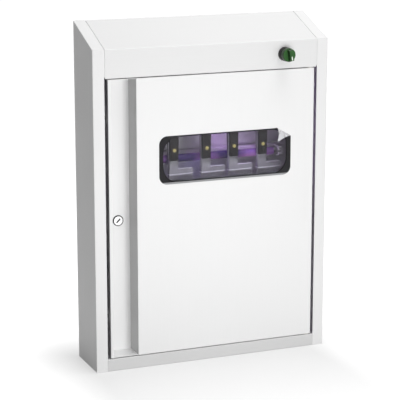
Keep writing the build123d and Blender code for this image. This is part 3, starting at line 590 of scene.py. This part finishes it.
film_mesh = bmesh.new()
bmesh.ops.create_grid(film_mesh, x_segments=1, y_segments=1, size=1)
bmesh.ops.scale(film_mesh, vec=(film_half_width, film_half_height, 1), verts=film_mesh.verts)
upright = Matrix.Rotation(math.radians(90), 3, "X")
bmesh.ops.rotate(film_mesh, matrix=upright, verts=film_mesh.verts)
bmesh.ops.translate(film_mesh, vec=film_middle, verts=film_mesh.verts)
kept_corners = [v for v in film_mesh.verts if (v.co - film_corner).length > loose_down_side]
bmesh.ops.bevel(
    film_mesh, geom=kept_corners, offset=film_corner_radius, segments=12, profile=0.5,
    affect="VERTICES", material=-1,
)
everything = film_mesh.verts[:] + film_mesh.edges[:] + film_mesh.faces[:]
bmesh.ops.bisect_plane(
    film_mesh, geom=everything, plane_co=fold_start, plane_no=outside_fold, clear_outer=True,
)


def number_by_place(mesh):
    """Some operators number what they make differently in each run; this settles it."""
    corners = sorted(mesh.verts, key=lambda v: v.co.to_tuple(7))
    faces = sorted(mesh.faces, key=lambda f: f.calc_center_median().to_tuple(7))
    for elements in (corners, faces):
        for number, element in enumerate(elements):
            element.index = number
    mesh.verts.sort()
    mesh.faces.sort()


def edges_on_fold():
    return [
        e for e in film_mesh.edges
        if all(abs((v.co - fold_start).dot(outside_fold)) < 1e-5 for v in e.verts)
    ]


# The flap grows out of the fold row by row: first round the curl, then straight back over the film
# to a tip that leans along the fold.
curl_radius = 0.0026
curl_axis = fold_start + Vector((0, -curl_radius, 0))
curl_rows, curl_narrowing = 12, 0.972
curl_turn = Matrix.Rotation(math.radians(13.4), 3, along_fold)
straight_rows, straight_narrowing, tip_taper = 10, 0.86, 0.012
straight_step = outside_fold * -0.0021 + Vector((0, -0.0001, 0))
tip_lean = along_fold * 0.0018
bmesh.ops.subdivide_edges(film_mesh, edges=edges_on_fold(), cuts=11)
row = edges_on_fold()
for step in range(curl_rows + straight_rows):
    grown = bmesh.ops.extrude_edge_only(film_mesh, edges=row)["geom"]
    row = [g for g in grown if isinstance(g, bmesh.types.BMEdge)]
    ends = list(dict.fromkeys(v for e in row for v in e.verts))
    if step < curl_rows:
        bmesh.ops.rotate(film_mesh, cent=curl_axis, matrix=curl_turn, verts=ends)
        middle = sum((v.co for v in ends), Vector()) / len(ends)
        narrowing = curl_narrowing
    else:
        bmesh.ops.translate(film_mesh, vec=straight_step, verts=ends)
        middle = sum((v.co for v in ends), Vector()) / len(ends) - tip_lean
        narrowing = straight_narrowing - tip_taper * (step - curl_rows)
    for v in ends:
        v.co = middle + (v.co - middle) * narrowing
bmesh.ops.recalc_face_normals(film_mesh, faces=film_mesh.faces)
bmesh.ops.solidify(film_mesh, geom=film_mesh.faces[:], thickness=film_thickness)
bmesh.ops.recalc_face_normals(film_mesh, faces=film_mesh.faces)

# The side of the flap that was stuck down now looks away from the curl's axis, and is silvery.
lowest_lift = 0.0006
for face in film_mesh.faces:
    off_axis = face.calc_center_median() - curl_axis
    off_axis -= along_fold * off_axis.dot(along_fold)
    in_flap = off_axis.dot(outside_fold) > 0 or off_axis.y < curl_radius - lowest_lift
    face.material_index = int(in_flap and off_axis.dot(face.normal) > 0)
    face.smooth = in_flap
number_by_place(film_mesh)
film_data = bpy.data.meshes.new("smoked_film_sheet")
film_mesh.to_mesh(film_data)
film_mesh.free()
film_sheet = bpy.data.objects.new("smoked_film_sheet", film_data)
bpy.context.scene.collection.objects.link(film_sheet)
film_data.materials.append(smoked_sheet())
silver_underside = grained(
    "silver_underside", (0.62, 0.62, 0.64), 0.3, relief=0.000003, tint=0.9, Metallic=0.6,
)
film_data.materials.append(silver_underside)
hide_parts("window_film")
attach(film_sheet, "door")


# Lamp: a quartz tube with metal caps, pushed into white holders on the batten. Its violet glow is
# stronger in places, so small violet lamps stand at those places and a pale one along the window.
def glowing_glass():
    material, tree, shader = new_finish("violet_tube", Emission_Strength=0.6, IOR=1.46)
    place_effect(
        tree, fine_grain, shader, relief=0.000002,
        Colour=(0.05, 0.03, 0.12, 1), Grain=60.0, Tint=0.3, Roughness=0.2,
    )
    place = tree.nodes.new("ShaderNodeTexCoord").outputs["Object"]
    patches = noise_on(tree, place, 22.0, 2)
    ramp = tree.nodes.new("ShaderNodeValToRGB")
    dim, bright = ramp.color_ramp.elements
    dim.position, dim.color = 0.5, (0.02, 0.012, 0.06, 1)
    bright.position, bright.color = 0.8, (0.8, 0.35, 1.0, 1)
    wire(
        tree,
        (patches, ramp.inputs["Fac"]),
        (ramp.outputs["Color"], shader.inputs["Emission Color"]),
    )
    return material


dress(glowing_glass(), "uv_tube")
cap_metal = grained("cap_metal", (0.7, 0.7, 0.7), 0.3, relief=0.000004, Metallic=0.9)
dress(cap_metal, "uv_tube_caps")
dress(white_plastic, "lamp_holder_left", "lamp_holder_right")
dress(upright_grain, "lamp_batten")


def hide_from_view(lamp):
    lamp.visible_camera = False
    lamp.visible_transmission = False


for name, place, colour, watts in (
    ("glow_upper_middle", (0.057, 0.024, 0.436), (0.68, 0.4, 1.0), 0.045),
    ("glow_right", (0.118, 0.02, 0.412), (0.7, 0.44, 1.0), 0.045),
    ("glow_left", (0.008, 0.018, 0.395), (0.42, 0.32, 1.0), 0.02),
):
    glow_data = bpy.data.lights.new(name, "POINT")
    glow_data.color = colour
    glow_data.energy = watts
    glow_data.shadow_soft_size = 0.012
    glow = bpy.data.objects.new(name, glow_data)
    glow.location = place
    glow.visible_glossy = False
    hide_from_view(glow)
    bpy.context.scene.collection.objects.link(glow)

shimmer = soft_lamp(
    "front_shimmer", (0.03, -0.034, 0.49), target=(0.03, -0.008, 0.4), size=0.26, watts=0.155,
)
shimmer.data.shape = "RECTANGLE"
shimmer.data.size_y = 0.012
shimmer.data.spread = math.radians(60)
shimmer.data.color = (0.9, 0.86, 1.0)
shimmer.visible_glossy = True
hide_from_view(shimmer)


# Knife bar: the magnets, dark ferrite blocks, lie behind the stainless cover on which the blades
# hold; the cover and its brackets have the shell's upright grain.
dark_ferrite = grained("dark_ferrite", (0.06, 0.055, 0.05), 0.7, relief=0.00005)
dress(dark_ferrite, "magnet_core")
dress(upright_grain, "magnet_bar", "bar_brackets")


# Knives: forged satin blades with full bolsters, dark handle scales and brass rivets. A painted
# highlight, a bright line, crosses each blade where the flat heel ends and the ground bevel begins.
def ground_blade():
    bevel_line, half_width = 0.3795, 0.001
    highlight_gain, heel_loss = 1.6, -0.15
    material = satin_steel(
        "knife_steel", (700, 700, 20), colour=(0.6, 0.59, 0.63, 1), metal=0.35, roughness=0.36,
    )
    tree = material.node_tree
    shader = tree.nodes["Principled BSDF"]
    height = axes_of(tree)[2]
    from_line = math_step(tree, "ABSOLUTE", math_step(tree, "SUBTRACT", height, bevel_line))
    on_highlight = math_step(tree, "LESS_THAN", from_line, half_width)
    on_heel = math_step(tree, "GREATER_THAN", height, bevel_line)
    # Painted highlight along the bevel line; above it the heel is a little darker.
    line = math_step(tree, "MULTIPLY", on_highlight, highlight_gain)
    heel = math_step(tree, "MULTIPLY", on_heel, heel_loss)
    shade = math_step(tree, "ADD", math_step(tree, "ADD", line, heel), 1.0)
    toned = scaled(tree, colour_so_far(shader), shade)
    wire(tree, (toned, shader.inputs["Base Color"]))
    return material


blade_steel = ground_blade()
handle_black = grained("handle_black", (0.022, 0.021, 0.02), 0.5, Specular_IOR_Level=0.15)
rivet_brass = grained("rivet_brass", (0.75, 0.66, 0.24), 0.3, relief=0.000005, Metallic=0.4)
for number in range(1, 5):
    dress(blade_steel, f"knife_{number}_blade")
    dress(handle_black, f"knife_{number}_scales")
    dress(rivet_brass, f"knife_{number}_rivets")


# Pan-head screws: zinc-plated, with a round drive, one near each end of the lamp batten and of the
# knife bar's cover, driven from the front.
def pan_head_screws(name, carrier, end_gap):
    """Two heads on the carrier's front face, each as far from its end as the gap says."""
    head_radius, head_height, head_round = 0.0032, 0.0019, 0.0011
    drive_land, drive_wall, drive_depth = 0.0006, 0.0001, 0.0011
    low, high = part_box(carrier)
    front = low[1] - head_height
    middle = Vector((low[0] + end_gap, low[1] - head_height / 2, (low[2] + high[2]) / 2))
    lying = Matrix.Rotation(math.radians(90), 4, "X")
    mesh = bmesh.new()
    bmesh.ops.create_cone(
        mesh, cap_ends=True, segments=28, radius1=head_radius, radius2=head_radius,
        depth=head_height, matrix=Matrix.Translation(middle) @ lying,
    )
    rim = [e for e in mesh.edges if all(abs(v.co.y - front) < 1e-6 for v in e.verts)]
    bmesh.ops.bevel(
        mesh, geom=rim, offset=head_round, segments=4, profile=0.5, affect="EDGES", material=-1,
    )
    top = [
        f for f in mesh.faces
        if f.normal.y < -0.99 and abs(f.calc_center_median().y - front) < 1e-6
    ]
    bmesh.ops.inset_individual(mesh, faces=top, thickness=drive_land)
    bmesh.ops.inset_individual(mesh, faces=top, thickness=drive_wall)
    bmesh.ops.translate(mesh, vec=(0, drive_depth, 0), verts=top[0].verts[:])
    first_head = mesh.verts[:] + mesh.edges[:] + mesh.faces[:]
    copied = bmesh.ops.duplicate(mesh, geom=first_head)["geom"]
    other_head = [g for g in copied if isinstance(g, bmesh.types.BMVert)]
    spacing = high[0] - low[0] - 2 * end_gap
    bmesh.ops.translate(mesh, vec=(spacing, 0, 0), verts=other_head)
    bmesh.ops.recalc_face_normals(mesh, faces=mesh.faces)
    number_by_place(mesh)
    data = bpy.data.meshes.new(name)
    mesh.to_mesh(data)
    mesh.free()
    screws = bpy.data.objects.new(name, data)
    bpy.context.scene.collection.objects.link(screws)
    data.materials.append(zinc)
    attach(screws, "cabinet")


pan_head_screws("batten_screws", "lamp_batten", end_gap=0.006)
pan_head_screws("knife_bar_screws", "magnet_bar", end_gap=0.009)
